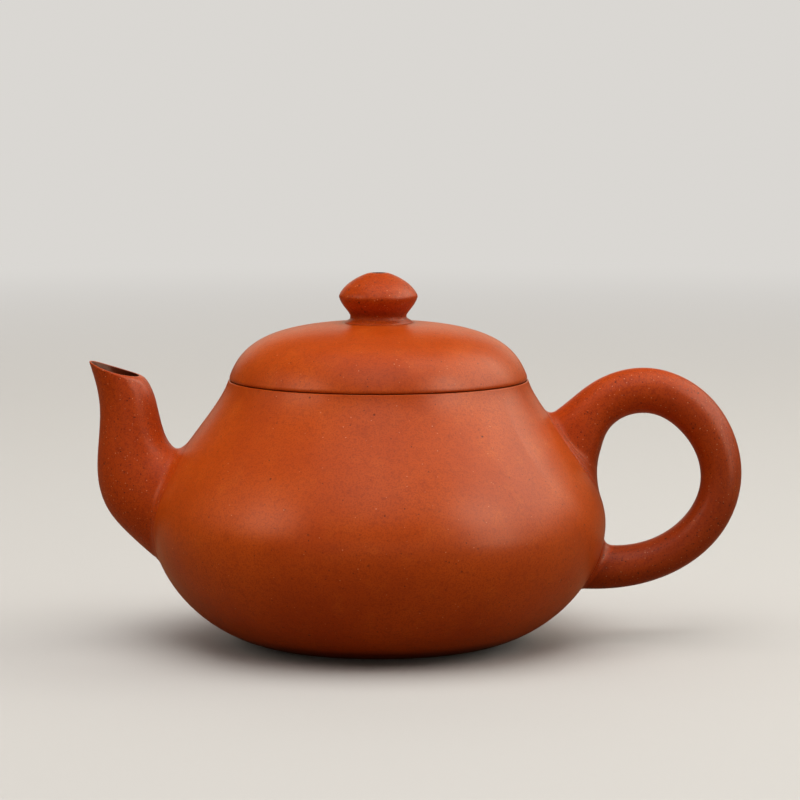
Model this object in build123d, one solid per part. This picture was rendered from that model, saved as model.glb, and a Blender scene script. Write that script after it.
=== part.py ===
"""A small round zisha-clay teapot with a cut-style lid, in millimetres.

Frame: the origin is the centre of the standing ring on the table, +Z is up, the spout
points along -X and the handle along +X. The lid lifts straight up along +Z.

The pot is put together the way a potter does it. The wall, base disc, mouth ring, spout,
ball strainer and handle are made apart and luted with soft clay, and so are the lid's
dome, flange and knob. Each one is its own solid here, in its own STEP file.
"""

from build123d import *
import os
from math import cos, radians, sin

# ---- Pot ---------------------------------------------------------------------------------
BELLY_RADIUS = 45.0
BELLY_HEIGHT = 23.9
FOOT_RADIUS = 20.0  # outer edge of the ring that stands on the table
FOOT_BAND = 1.8  # width of that ring's flat face
FOOT_LIFT = 0.5  # how fast the foot's inner side rises from the table
FOOT_SPREAD = (13.0, 0.3)  # how far out and up the wall heads as it leaves the foot
BELLY_TURN_LOW = 11.6  # how far the wall stays upright below the belly line
BELLY_TURN_HIGH = 10.0  # and above it
MOUTH_RADIUS = 29.6  # outside of the mouth, where the lid's rim meets it
MOUTH_HEIGHT = 52.1
MOUTH_LEAN = 17.0  # degrees by which the shoulder leans in as it reaches the mouth
SHOULDER_RUN = 7.4  # how far the wall keeps that lean below the mouth
MOUTH_EDGE = 0.16  # rounding of the mouth's outer edge
WALL = 2.8
BASE_RADIUS = 16.8  # the base disc is let into the foot
BASE_THICKNESS = 2.6
BASE_RISE = 0.9  # how far the disc's edge is held off the table
BASE_PRESS = 0.7  # how much higher its middle is pressed up
BASE_MIDDLE = 8.4  # how far that raised middle stays level
BASE_RIM = 4.2  # how far its rim stays level

# ---- Mouth ring and lid ------------------------------------------------------------------
MOUTH_BORE = 25.9  # radius inside the mouth ring
RING_DEPTH = 5.5
RING_STRAIGHT = 3.0  # height of the bore before the ring slopes back to the wall
RING_TURN = 1.6  # how gently that slope starts
RING_REACH = 1.0  # how far the ring's blank is wider than the mouth before the wall trims it
LID_CLEARANCE = 0.25  # radial play of the lid's flange in the mouth ring
FLANGE_THICKNESS = 2.3
FLANGE_DEPTH = 5.8
FLANGE_EDGE = 0.6
FLANGE_ROOT = 3.0  # how far it reaches up to be luted inside the dome
LID_LANDING = 0.75  # share of the flange's thickness that lies under the lid's flat rim
LID_TOP = 63.56
LID_SHOULDER = 8.3  # how strongly the dome rises from its rim before it turns in
LID_FLAT = 20.5  # how far the flat crown reaches
LID_THICKNESS = 2.9
LID_EDGE = 0.4  # rounding of the lid's rim
VENT_RADIUS = 1.35

# ---- Knob --------------------------------------------------------------------------------
KNOB_RADIUS = 7.78
KNOB_RIDGE = 68.6  # height of its widest line
KNOB_TOP = 73.2
KNOB_CROWN = 1.9  # radius of the small flat round the vent
KNOB_WAIST = 5.55
KNOB_WAIST_HEIGHT = 64.7
KNOB_FOOT = 5.9
KNOB_SINK = 1.0  # how far the blanks of the knob and its clay reach below the lid's top
KNOB_LUTING = 6.75  # radius to which the soft clay round its foot spreads
KNOB_LUTING_ROOT = 0.5  # how far that clay reaches in behind the waist
KNOB_LUTING_SWELL = 0.3  # how full it stands over the lid
# How the knob's outline leaves its crown, passes over and under its ridge and meets its waist.
CROWN_LEAVES = Vector(3.1, 0, -1.0)
RIDGE_OVER = Vector(-0.5, 0, 1.7)
RIDGE_UNDER = Vector(-0.45, 0, -1.9)
WAIST_OVER = Vector(0, 0, 0.8)
WAIST_UNDER = Vector(0, 0, -0.6)

# ---- Spout -------------------------------------------------------------------------------
# Each station is (front x, front z), (back x, back z), half of its depth in Y.
SPOUT_STATIONS = [
    ((-38.5, 13.0), (-35.0, 36.5), 9.6),
    ((-43.6, 16.2), (-39.6, 38.0), 9.4),
    ((-48.9, 20.8), (-41.3, 39.4), 8.7),
    ((-53.2, 25.6), (-42.2, 41.0), 7.7),
    ((-55.5, 31.8), (-43.0, 43.6), 6.8),
    ((-55.4, 40.0), (-43.7, 46.6), 6.2),
    ((-55.1, 46.6), (-44.5, 49.5), 5.9),
    ((-57.4, 56.6), (-47.6, 55.0), 5.75),
]
SPOUT_TIP = (-57.1, 55.85)  # highest point of the cut mouth
SPOUT_HEEL = (-46.3, 52.55)  # back of the cut mouth
SPOUT_SAG = 0.35  # how far the cut dips at the sides
SPOUT_LIP = (0.6, 1.3, 0.9)  # wall thickness at the front, the back and the sides of the mouth
SPOUT_ROOT_WALL = 2.6  # wall thickness at the body
SPOUT_TRIM = 30.0  # size of the block of space over the cut mouth
SPOUT_TRIM_DEPTH = 2.0  # how far that block reaches under the cut before its face is hollowed
SPOUT_LUTING = 2.1  # radius of the fillet of soft clay

# ---- Ball strainer -----------------------------------------------------------------------
PORT_RADIUS = 7.4  # round hole through the wall behind the spout
PORT_HEIGHT = 27.0
PORT_REACH = 11.25  # how far its drill reaches to either side of the belly line
STRAINER_RADIUS = 8.6
STRAINER_THICKNESS = 1.2
STRAINER_HOLE = 0.85
STRAINER_RINGS = ((0.0, 1), (22.0, 6), (44.0, 11), (64.0, 14))  # degrees off axis, holes
DRILL_REACH = 10.5

# ---- Handle ------------------------------------------------------------------------------
# Each station is (outer x, outer z), (inner x, inner z), half of its depth in Y.
HANDLE_STATIONS = [
    ((31.0, 42.9), (40.0, 28.4), 5.6),
    ((37.2, 47.5), (43.3, 35.6), 5.2),
    ((42.4, 51.5), (45.4, 41.9), 4.7),
    ((53.2, 54.4), (53.0, 45.45), 4.4),
    ((63.7, 50.4), (59.3, 42.4), 4.3),
    ((70.4, 41.3), (63.1, 36.8), 4.2),
    ((71.9, 32.2), (63.8, 31.6), 4.1),
    ((68.8, 22.6), (61.8, 26.3), 4.05),
    ((60.5, 14.7), (56.6, 21.5), 4.0),
    ((49.8, 10.9), (48.9, 19.1), 4.2),
    ((36.0, 10.6), (36.5, 20.4), 4.8),
]
HANDLE_LUTING = 2.05

TOUCH = 1e-3
EDGE_PROBE = 0.37  # a place along an edge that is clear of its ends and its middle
QUARTER_ARC = 0.5523  # pull of a cubic curve's inner points that makes a quarter of an ellipse


def point(radius, height):
    """A point of a turned profile, in the XZ plane."""
    return Vector(radius, 0, height)


def inset(curve, depth):
    """The control points of a cubic curve that runs depth to the left of the given one."""
    start, leave, arrive, end = curve
    out, back = (leave - start).normalized(), (end - arrive).normalized()
    new_start = start + Vector(-out.Z, 0, out.X) * depth
    new_end = end + Vector(-back.Z, 0, back.X) * depth
    scale = (new_end - new_start).length / (end - start).length
    return [new_start, new_start + (leave - start) * scale, new_end + (arrive - end) * scale, new_end]


def turned(*outline):
    """The solid swept by a closed outline turned about Z."""
    return revolve(Face(Wire(list(outline))), Axis.Z, 360)


def rings_at(solid, radius, height):
    """The circular edges of a turned solid at one radius and height."""
    circles = solid.edges().filter_by(GeomType.CIRCLE)
    return [e for e in circles if abs(e.radius - radius) < TOUCH and abs(e.center().Z - height) < TOUCH]


def export(name, shape):
    export_step(shape, os.path.join("parts", name + ".step"))


# ---- Profiles that several pieces share --------------------------------------------------
foot = point(FOOT_RADIUS, 0)
belly = point(BELLY_RADIUS, BELLY_HEIGHT)
mouth = point(MOUTH_RADIUS, MOUTH_HEIGHT)
mouth_lean = Vector(sin(radians(MOUTH_LEAN)), 0, -cos(radians(MOUTH_LEAN)))
lower_wall = [foot, foot + point(*FOOT_SPREAD), belly - point(0, BELLY_TURN_LOW), belly]
upper_wall = [belly, belly + point(0, BELLY_TURN_HIGH), mouth + mouth_lean * SHOULDER_RUN, mouth]
crown = point(0, LID_TOP)
lid_outline = [mouth, mouth - mouth_lean * LID_SHOULDER, point(LID_FLAT, LID_TOP), crown]


def pot_mass():
    """The pot's whole outside as one solid, which trims what is luted onto it."""
    axis_foot, axis_mouth = point(0, 0), point(0, MOUTH_HEIGHT)
    return turned(
        Bezier(*lower_wall),
        Bezier(*upper_wall),
        Line(mouth, axis_mouth),
        Line(axis_mouth, axis_foot),
        Line(axis_foot, foot),
    )


def hollow():
    """The space inside the wall, above the base disc and up to the mouth."""
    low, up = inset(lower_wall, WALL), inset(upper_wall, WALL)
    socket = point(BASE_RADIUS, BASE_RISE + BASE_THICKNESS)
    lip = point(up[3].X, MOUTH_HEIGHT)
    axis_lip, axis_low = point(0, MOUTH_HEIGHT), point(0, socket.Z)
    return turned(
        Bezier(socket, low[1], low[2], low[3]),
        Bezier(*up),
        Line(up[3], lip),
        Line(lip, axis_lip),
        Line(axis_lip, axis_low),
        Line(axis_low, socket),
    )


def foot_recess():
    """The space under the base disc and the socket that holds the disc."""
    band = point(FOOT_RADIUS - FOOT_BAND, 0)
    socket_low, socket_top = point(BASE_RADIUS, BASE_RISE), point(BASE_RADIUS, BASE_RISE + BASE_THICKNESS)
    axis_low, axis_top = point(0, 0), point(0, socket_top.Z)
    bend = point((BASE_RADIUS + band.X) / 2, FOOT_LIFT)
    return turned(
        Line(axis_low, band),
        Bezier(band, bend, socket_low),
        Line(socket_low, socket_top),
        Line(socket_top, axis_top),
        Line(axis_top, axis_low),
    )


def body_wall(mass, space):
    """The paddled wall, from the flat ring it stands on to the mouth."""
    shell = fillet(rings_at(mass, MOUTH_RADIUS, MOUTH_HEIGHT), MOUTH_EDGE)
    inside = Plane(origin=(PORT_REACH - BELLY_RADIUS, 0, PORT_HEIGHT), z_dir=(-1, 0, 0))
    port = extrude(inside * Circle(PORT_RADIUS), 2 * PORT_REACH)
    return shell - space - foot_recess() - port


def base_disc():
    """The disc that closes the bottom, its middle pressed up a little."""
    edge_low, edge_top = point(BASE_RADIUS, BASE_RISE), point(BASE_RADIUS, BASE_RISE + BASE_THICKNESS)
    mid_low = point(0, BASE_RISE + BASE_PRESS)
    mid_top = mid_low + Vector(0, 0, BASE_THICKNESS)
    middle, rim = point(BASE_MIDDLE, 0), point(BASE_RIM, 0)
    return turned(
        Bezier(mid_low, mid_low + middle, edge_low - rim, edge_low),
        Line(edge_low, edge_top),
        Bezier(edge_top, edge_top - rim, mid_top + middle, mid_top),
        Line(mid_top, mid_low),
    )


def mouth_ring(space):
    """The ring luted inside the mouth, which gives the lid a wide seat."""
    inner_top = point(MOUTH_BORE, MOUTH_HEIGHT)
    inner_low = point(MOUTH_BORE, MOUTH_HEIGHT - RING_STRAIGHT)
    outer_low = point(MOUTH_RADIUS + RING_REACH, MOUTH_HEIGHT - RING_DEPTH)
    outer_top = point(MOUTH_RADIUS + RING_REACH, MOUTH_HEIGHT)
    ring = turned(
        Line(outer_top, inner_top),
        Line(inner_top, inner_low),
        Bezier(inner_low, inner_low - point(0, RING_TURN), outer_low),
        Line(outer_low, outer_top),
    )
    ring = fillet(rings_at(ring, MOUTH_BORE, MOUTH_HEIGHT), MOUTH_EDGE * 2)
    return ring & space


def section(front, back, half_depth):
    """A closed elliptical wire across a spout or handle, in four quarters from its back."""
    centre, across = (front + back) / 2, (back - front) / 2
    side = Vector(0, half_depth, 0)
    arms = [across, side, -across, -side]
    quarters = []
    for arm, turned_arm in zip(arms, arms[1:] + arms[:1]):
        start, end = centre + arm, centre + turned_arm
        quarters.append(Bezier(start, start + turned_arm * QUARTER_ARC, end + arm * QUARTER_ARC, end))
    return Wire(quarters)


def tube(stations, thin=None):
    """A smooth solid through elliptical sections.

    thin(share) gives what is taken off a section's front, its back and its sides.
    """
    wires = []
    for index, (front, back, half_depth) in enumerate(stations):
        front, back = point(*front), point(*back)
        at_front, at_back, at_side = thin(index / (len(stations) - 1)) if thin else (0, 0, 0)
        inward = (back - front).normalized()
        wires.append(section(front + inward * at_front, back - inward * at_back, half_depth - at_side))
    return Solid.make_loft(wires)


def spout_wall(share):
    """The spout's wall thicknesses, from its root at share 0 to its lip at share 1."""
    return [SPOUT_ROOT_WALL + (lip - SPOUT_ROOT_WALL) * share for lip in SPOUT_LIP]


def above_mouth():
    """Everything above the spout's cut mouth, which dips a little at its sides."""
    tip, heel = point(*SPOUT_TIP), point(*SPOUT_HEEL)
    along = (heel - tip).normalized()
    up = Vector(-along.Z, 0, along.X)
    half_width = SPOUT_STATIONS[-1][2]
    radius = half_width**2 / (2 * SPOUT_SAG)
    middle = (tip + heel) / 2
    frame = Plane(origin=middle - up * SPOUT_TRIM_DEPTH, x_dir=along, z_dir=up)
    block = frame * Box(SPOUT_TRIM, SPOUT_TRIM, SPOUT_TRIM, align=(Align.CENTER, Align.CENTER, Align.MIN))
    drum = Plane(origin=middle - along * SPOUT_TRIM - up * radius, z_dir=along) * Circle(radius)
    return block - extrude(drum, 2 * SPOUT_TRIM)


def spout(outside):
    """The spout with its hollow, which narrows towards the lip."""
    return outside - tube(SPOUT_STATIONS, spout_wall)


def luting(attached, mass, radius):
    """The soft clay smoothed into the corner where a piece meets the pot."""
    joined = attached + mass
    corner = []
    for edge in joined.edges():
        probe = edge.position_at(EDGE_PROBE)
        if attached.distance_to(probe) < TOUCH and mass.distance_to(probe) < TOUCH:
            corner.append(edge)
    return fillet(corner, radius) - joined


def ball_strainer(space):
    """The pierced dome that keeps leaves out of the spout, standing inside the wall."""
    centre = Location((-BELLY_RADIUS + WALL, 0, PORT_HEIGHT))
    shell = Sphere(STRAINER_RADIUS) - Sphere(STRAINER_RADIUS - STRAINER_THICKNESS)
    for lean, count in STRAINER_RINGS:
        for step in range(count):
            drill = Cylinder(STRAINER_HOLE, DRILL_REACH, align=(Align.CENTER, Align.CENTER, Align.MIN))
            shell -= Rot(360.0 * step / count, 0, 0) * Rot(0, 90 - lean, 0) * drill
    return (centre * shell) & space


def lid_mass():
    """The lid's whole outside as one solid, which trims what is luted onto it."""
    axis_rim = point(0, MOUTH_HEIGHT)
    return turned(Bezier(*lid_outline), Line(crown, axis_rim), Line(axis_rim, mouth))


def vent():
    """The small hole that lets air in through the knob and the lid."""
    return Pos(0, 0, MOUTH_HEIGHT) * Cylinder(
        VENT_RADIUS, KNOB_TOP - MOUTH_HEIGHT + 1, align=(Align.CENTER, Align.CENTER, Align.MIN)
    )


def lid_dome(mass):
    """The lid's dome, with a flat rim that lies on the mouth."""
    inner = inset(lid_outline, LID_THICKNESS)
    rim = point(MOUTH_BORE - LID_CLEARANCE - FLANGE_THICKNESS * LID_LANDING, MOUTH_HEIGHT)
    axis_top, axis_rim = inner[3], point(0, MOUTH_HEIGHT)
    space = turned(
        Bezier(rim, inner[1], inner[2], axis_top),
        Line(axis_top, axis_rim),
        Line(axis_rim, rim),
    )
    dome = fillet(rings_at(mass, MOUTH_RADIUS, MOUTH_HEIGHT), LID_EDGE)
    return dome - space - vent()


def lid_flange(dome):
    """The ring luted under the lid, which drops into the mouth and keeps the lid centred."""
    outer = MOUTH_BORE - LID_CLEARANCE
    ring = Pos(0, 0, MOUTH_HEIGHT - FLANGE_DEPTH) * Cylinder(
        outer, FLANGE_DEPTH + FLANGE_ROOT, align=(Align.CENTER, Align.CENTER, Align.MIN)
    )
    ring = fillet(rings_at(ring, outer, MOUTH_HEIGHT - FLANGE_DEPTH), FLANGE_EDGE)
    bore = Pos(0, 0, MOUTH_HEIGHT) * Cylinder(outer - FLANGE_THICKNESS, 4 * FLANGE_DEPTH)
    return ring - bore - dome


def knob(mass):
    """The mushroom knob, with a soft ridge round its widest line and the vent through it."""
    top, rim = point(0, KNOB_TOP), point(KNOB_CROWN, KNOB_TOP)
    ridge, waist = point(KNOB_RADIUS, KNOB_RIDGE), point(KNOB_WAIST, KNOB_WAIST_HEIGHT)
    floor, axis_floor = point(KNOB_FOOT, LID_TOP - KNOB_SINK), point(0, LID_TOP - KNOB_SINK)
    body = turned(
        Line(top, rim),
        Bezier(rim, rim + CROWN_LEAVES, ridge + RIDGE_OVER, ridge),
        Bezier(ridge, ridge + RIDGE_UNDER, waist + WAIST_OVER, waist),
        Bezier(waist, waist + WAIST_UNDER, floor - WAIST_UNDER, floor),
        Line(floor, axis_floor),
        Line(axis_floor, top),
    )
    return body - mass - vent()


def knob_luting(mass, stem):
    """The ring of soft clay smoothed round the knob's foot."""
    top = point(KNOB_WAIST - KNOB_LUTING_ROOT, KNOB_WAIST_HEIGHT)
    low = point(KNOB_LUTING, LID_TOP - KNOB_SINK)
    inner = point(top.X, low.Z)
    swell = LID_TOP + KNOB_LUTING_SWELL
    ring = turned(
        Bezier(top, point(KNOB_FOOT, swell), point(KNOB_LUTING, swell), low),
        Line(low, inner),
        Line(inner, top),
    )
    return ring - mass - stem - vent()


def build_pot():
    """Write the pieces of the pot."""
    mass, space = pot_mass(), hollow()
    spout_outside = tube(SPOUT_STATIONS) - above_mouth() - mass
    handle = tube(HANDLE_STATIONS) - mass
    upper_luting, lower_luting = luting(handle, mass, HANDLE_LUTING).solids().sort_by(Axis.Z, reverse=True)
    export("body_wall", body_wall(mass, space))
    export("base_disc", base_disc())
    export("mouth_ring", mouth_ring(space))
    export("ball_strainer", ball_strainer(space))
    export("spout", spout(spout_outside))
    export("spout_luting", luting(spout_outside, mass, SPOUT_LUTING))
    export("handle", handle)
    export("handle_upper_luting", upper_luting)
    export("handle_lower_luting", lower_luting)


def build_lid():
    """Write the pieces of the lid."""
    mass = lid_mass()
    dome, stem = lid_dome(mass), knob(mass)
    export("lid_dome", dome)
    export("lid_flange", lid_flange(dome))
    export("knob", stem)
    export("knob_luting", knob_luting(mass, stem))


if __name__ == "__main__":
    os.makedirs("parts", exist_ok=True)
    build_pot()
    build_lid()
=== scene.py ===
"""The look of a small zisha-clay teapot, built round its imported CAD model.

Every position is in the CAD model's frame: origin at the centre of the standing ring, +Z up,
the spout towards -X and the handle towards +X. Shapes are worked out in millimetres and
turned into metres when a mesh is made. The stage, the lights and the camera are in metres.
"""

from math import cos, pi, radians, sin

import bmesh
import bpy
import numpy as np
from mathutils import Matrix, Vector


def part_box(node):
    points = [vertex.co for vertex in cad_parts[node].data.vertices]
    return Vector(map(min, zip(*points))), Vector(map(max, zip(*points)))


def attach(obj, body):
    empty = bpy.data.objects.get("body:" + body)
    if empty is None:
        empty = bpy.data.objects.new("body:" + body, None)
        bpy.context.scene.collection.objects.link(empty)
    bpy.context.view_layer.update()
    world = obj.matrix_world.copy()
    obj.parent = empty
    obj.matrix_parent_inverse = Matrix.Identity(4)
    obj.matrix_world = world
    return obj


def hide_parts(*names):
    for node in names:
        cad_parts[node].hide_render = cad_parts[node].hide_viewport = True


MM = 0.001

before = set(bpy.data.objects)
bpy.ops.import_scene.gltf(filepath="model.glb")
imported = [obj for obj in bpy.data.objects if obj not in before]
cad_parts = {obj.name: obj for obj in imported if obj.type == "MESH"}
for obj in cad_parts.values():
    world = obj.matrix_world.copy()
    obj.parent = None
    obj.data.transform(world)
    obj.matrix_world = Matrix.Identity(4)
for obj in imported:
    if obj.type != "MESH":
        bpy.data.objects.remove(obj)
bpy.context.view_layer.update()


def node_box(node):
    """A CAD node's lowest and highest corner, in millimetres."""
    low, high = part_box(node)
    return np.array(low) / MM, np.array(high) / MM


# ---- Sizes, from the CAD nodes -----------------------------------------------------------
BELLY = float(node_box("body_wall")[1][1])
MOUTH = float(node_box("body_wall")[1][2])
LID_TOP = float(node_box("lid_dome")[1][2])
KNOB_TOP = float(node_box("knob")[1][2])
KNOB_RADIUS = float(node_box("knob")[1][1])
FLANGE_OUTER = float(node_box("lid_flange")[1][1])
FLANGE_LOW = float(node_box("lid_flange")[0][2])
DISC_RADIUS = float(node_box("base_disc")[1][1])
DISC_LOW = float(node_box("base_disc")[0][2])
DISC_TOP = float(node_box("base_disc")[1][2])
RING_LOW = float(node_box("mouth_ring")[0][2])

# ---- Shapes of the turned pieces ---------------------------------------------------------
# A lead is how far a curve's control point lies from the curve's end.
BELLY_HEIGHT = 23.9
FOOT_RADIUS = 20.0
FOOT_BAND = 1.8  # width of the band that the pot stands on
FOOT_LEAD = (13.0, 0.3)
BELLY_LEAD_LOW = 11.6
BELLY_LEAD_HIGH = 10.0
MOUTH_RADIUS = 29.6
MOUTH_LEAN = radians(17.0)  # how far the wall leans inwards where the lid takes over
MOUTH_LEAD_LOW = 7.4
MOUTH_LEAD_HIGH = 8.3
LID_LEAD = 20.5
WALL = 2.8
PORT_RADIUS = 7.4
PORT_HEIGHT = 27.0
LID_PLAY = 0.25
SEAT_BORE = FLANGE_OUTER + LID_PLAY
SEAT_STRAIGHT = 3.0  # depth of the seat's upright bore
DISC_THICKNESS = 2.6
LID_THICKNESS = 2.9
FLANGE_THICKNESS = 2.3
FLANGE_SUNK = 1.2  # how far the flange goes up into the dome
VENT = 1.35

KNOB_CROWN = 1.9  # radius of the flat round the vent
CROWN_LEAD = (3.1, -1.0)
RIDGE_LEAD_HIGH = (-0.5, 1.7)
KNOB_RIDGE = 68.6  # height of the ridge round the knob
RIDGE_LEAD_LOW = (-0.45, -1.9)
KNOB_WAIST = (5.55, 64.7)
KNOB_FOOT = 5.9
KNOB_SUNK = 1.0  # how far the knob goes down into the dome
COLLAR_REACH = 6.75  # mean radius of the soft clay round the knob's foot
COLLAR_TOP = 64.5

# ---- Spout and handle --------------------------------------------------------------------
# Each station is (front x, front z), (back x, back z), half of its depth in Y.
SPOUT_STATIONS = [
    ((-38.5, 13.0), (-35.0, 36.5), 9.6),
    ((-43.6, 16.2), (-39.6, 38.0), 9.4),
    ((-48.9, 20.8), (-41.3, 39.4), 8.7),
    ((-53.2, 25.6), (-42.2, 41.0), 7.7),
    ((-55.5, 31.8), (-43.0, 43.6), 6.8),
    ((-55.4, 40.0), (-43.7, 46.6), 6.2),
    ((-55.1, 46.6), (-44.5, 49.5), 5.9),
    ((-57.4, 56.6), (-47.6, 55.0), 5.75),
]
SPOUT_TIP = np.array([-57.0, 0, 55.8])
SPOUT_HEEL = np.array([-46.0, 0, 52.5])
SPOUT_SAG = 0.35  # how far the cut mouth dips at its sides
SPOUT_ROOT_WALL = 2.6
SPOUT_LIP = (0.35, 1.1, 0.6)  # wall thickness at the front, the back and the sides of the mouth
SPOUT_SUNK = 1.4  # how far the spout's root lies inside the pot's wall

# Each station is (outer x, outer z), (inner x, inner z), half of its depth in Y.
HANDLE_STATIONS = [
    ((31.0, 42.9), (40.0, 28.4), 5.6),
    ((37.2, 47.5), (43.3, 35.6), 5.2),
    ((42.4, 51.5), (45.4, 41.9), 4.7),
    ((53.2, 54.4), (53.0, 45.45), 4.4),
    ((63.7, 50.4), (59.3, 42.4), 4.3),
    ((70.4, 41.3), (63.1, 36.8), 4.2),
    ((71.9, 32.2), (63.8, 31.6), 4.1),
    ((68.8, 22.6), (61.8, 26.3), 4.05),
    ((60.5, 14.7), (56.6, 21.5), 4.0),
    ((49.8, 10.9), (48.9, 19.1), 4.2),
    ((36.0, 10.6), (36.5, 20.4), 4.8),
]
HANDLE_SUNK = 1.2  # how far the handle's two ends lie inside it

# A luting's hidden side.
LUTING_TUCK = 0.25  # how far its two edges run on
LUTING_SINK = 0.06  # how far they dip under the surface they run out on
LUTING_DEPTH = 0.5  # how deep its inside lies under the wall and the tube
LUTING_CORNER = 0.7  # how deep it reaches into the wall at the corner

# ---- How fine the meshes are -------------------------------------------------------------
AROUND = 288  # columns of a turned mesh
TUBE_AROUND = 128  # columns of the spout and the handle
SPOUT_ROWS = (110, 60)  # outside, and in the bore
HANDLE_ROWS = 260
LUTING_ROWS = 36
ROUNDING_STEPS = 7
CROSSING_STEPS = 500
WALL_STEPS = 900  # steps of each half of the curve that on_wall searches
SHORTEST = 1e-4  # outline points nearer than this to the one before are dropped
CRISP = radians(35)  # edges that bend more than this are left unsmoothed
WELD = 0.001  # vertices nearer than this are joined after the port is cut

# ---- Traces of making, and painted shade on the handle -----------------------------------
UNEVENNESS = 0.0011  # mean share of its radius by which the hand-made pot is squeezed
STROKE = 7.0  # how many times longer than wide a burnishing stroke is
HANDLE_SHADE = 0.36  # how dark the painted shade over the handle's outer bend and lower part gets
SHADE_FROM = 0.3  # share of the handle's length where the painted shade begins
SHADE_BLEND = 0.25  # share of the length over which it comes in


# ---- Curves ------------------------------------------------------------------------------
def bezier(controls, count):
    """count + 1 points along a Bezier curve. Controls may be arrays of points."""
    t = np.linspace(0, 1, count + 1)
    level = [np.asarray(c, float)[..., None] + 0 * t for c in controls]
    while len(level) > 1:
        level = [a + (b - a) * t for a, b in zip(level, level[1:])]
    return np.moveaxis(level[0], -1, 0)


def spline(knots, values, at):
    """A natural cubic spline through values at knots, read at the given places."""
    gap = np.diff(knots)
    count = len(knots)
    matrix, right = np.eye(count), np.zeros_like(values)
    for i in range(1, count - 1):
        matrix[i, i - 1 : i + 2] = gap[i - 1], 2 * (gap[i - 1] + gap[i]), gap[i]
        right[i] = 6 * ((values[i + 1] - values[i]) / gap[i] - (values[i] - values[i - 1]) / gap[i - 1])
    bend = np.linalg.solve(matrix, right)
    i = np.clip(np.searchsorted(knots, at) - 1, 0, count - 2)
    h, left, ahead = gap[i], at - knots[i], knots[i + 1] - at
    h, left, ahead = h[..., None], left[..., None], ahead[..., None]
    cubic = (bend[i] * ahead**3 + bend[i + 1] * left**3) / (6 * h)
    straight = (values[i] / h - bend[i] * h / 6) * ahead + (values[i + 1] / h - bend[i + 1] * h / 6) * left
    return cubic + straight


def unit(vectors):
    """The vectors at length 1."""
    return vectors / np.linalg.norm(vectors, axis=-1, keepdims=True)


def lengths_along(points):
    """The length of a polyline from its start to each of its points."""
    return np.concatenate([[0], np.cumsum(np.linalg.norm(np.diff(points, axis=0), axis=1))])


def trimmed(points, head, tail):
    """A polyline with some length cut off its head and its tail."""
    at = lengths_along(points)
    keep = (at > head + 1e-6) & (at < at[-1] - tail - 1e-6)
    ends = [[np.interp(s, at, points[:, k]) for k in range(points.shape[1])] for s in (head, at[-1] - tail)]
    return np.vstack([ends[0], points[keep], ends[1]])


def outline(strokes, roundings):
    """A closed outline from strokes that meet end to end, each stroke's end corner rounded."""
    points = []
    count = len(strokes)
    for i in range(count):
        here = trimmed(np.asarray(strokes[i], float), roundings[i - 1], roundings[i])
        after = np.asarray(strokes[(i + 1) % count], float)
        points.append(here[:-1])
        if roundings[i] > 0:
            start = trimmed(after, roundings[i], 0)[0]
            points.append(bezier([here[-1], after[0], start], ROUNDING_STEPS)[:-1])
        else:
            points.append(here[-1:])
    joined = np.vstack(points)
    gap = np.linalg.norm(joined - np.roll(joined, 1, axis=0), axis=1)
    return joined[gap > SHORTEST]


def line(start, end, count=1):
    """count + 1 points along a straight line."""
    return np.linspace(start, end, count + 1)


# ---- Meshes ------------------------------------------------------------------------------
def ring_faces(rows, columns, closed):
    """Quads between rings of vertices. closed joins the last ring to the first."""
    faces = []
    for row in range(rows if closed else rows - 1):
        low, high = row * columns, (row + 1) % rows * columns
        for column in range(columns):
            beside = (column + 1) % columns
            faces.append((low + column, low + beside, high + beside, high + column))
    return faces


def capped_faces(rows, columns):
    """The same, closed at both ends by fans round two more vertices, the first end's one first."""
    faces = ring_faces(rows, columns, False)
    first, last = rows * columns, rows * columns + 1
    end_row = (rows - 1) * columns
    for column in range(columns):
        beside = (column + 1) % columns
        faces.append((first, beside, column))
        faces.append((last, end_row + column, end_row + beside))
    return faces


def spun(profile, columns):
    """Rings of points from a profile of (radius, height) turned about the pot's axis.

    The profile may also be given for each column on its own.
    """
    turn = np.linspace(0, 2 * pi, columns, endpoint=False)
    if profile.ndim == 2:
        profile = profile[:, None, :]
    radius, height = profile[..., 0], profile[..., 1]
    return np.stack([radius * np.cos(turn), radius * np.sin(turn), height + 0 * turn], axis=-1)


def turned(profile):
    """Points and faces of a closed outline turned about the pot's axis."""
    return spun(profile, AROUND), ring_faces(len(profile), AROUND, True)


def turned_disc(profile):
    """The same for an outline whose first and last points lie on the axis."""
    points = spun(profile[1:-1], AROUND).reshape(-1, 3)
    tips = [[0, 0, profile[0][1]], [0, 0, profile[-1][1]]]
    return np.vstack([points, tips]), capped_faces(len(profile) - 2, AROUND)


# ---- Profiles of the turned pieces -------------------------------------------------------
def inset(curve, depth):
    """A cubic curve that runs depth to the left of the given one."""
    start, leave, arrive, end = (np.asarray(p, float) for p in curve)
    out, back = unit(leave - start), unit(end - arrive)
    new_start = start + np.array([-out[1], out[0]]) * depth
    new_end = end + np.array([-back[1], back[0]]) * depth
    scale = np.linalg.norm(new_end - new_start) / np.linalg.norm(end - start)
    return [new_start, new_start + (leave - start) * scale, new_end + (arrive - end) * scale, new_end]


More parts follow.
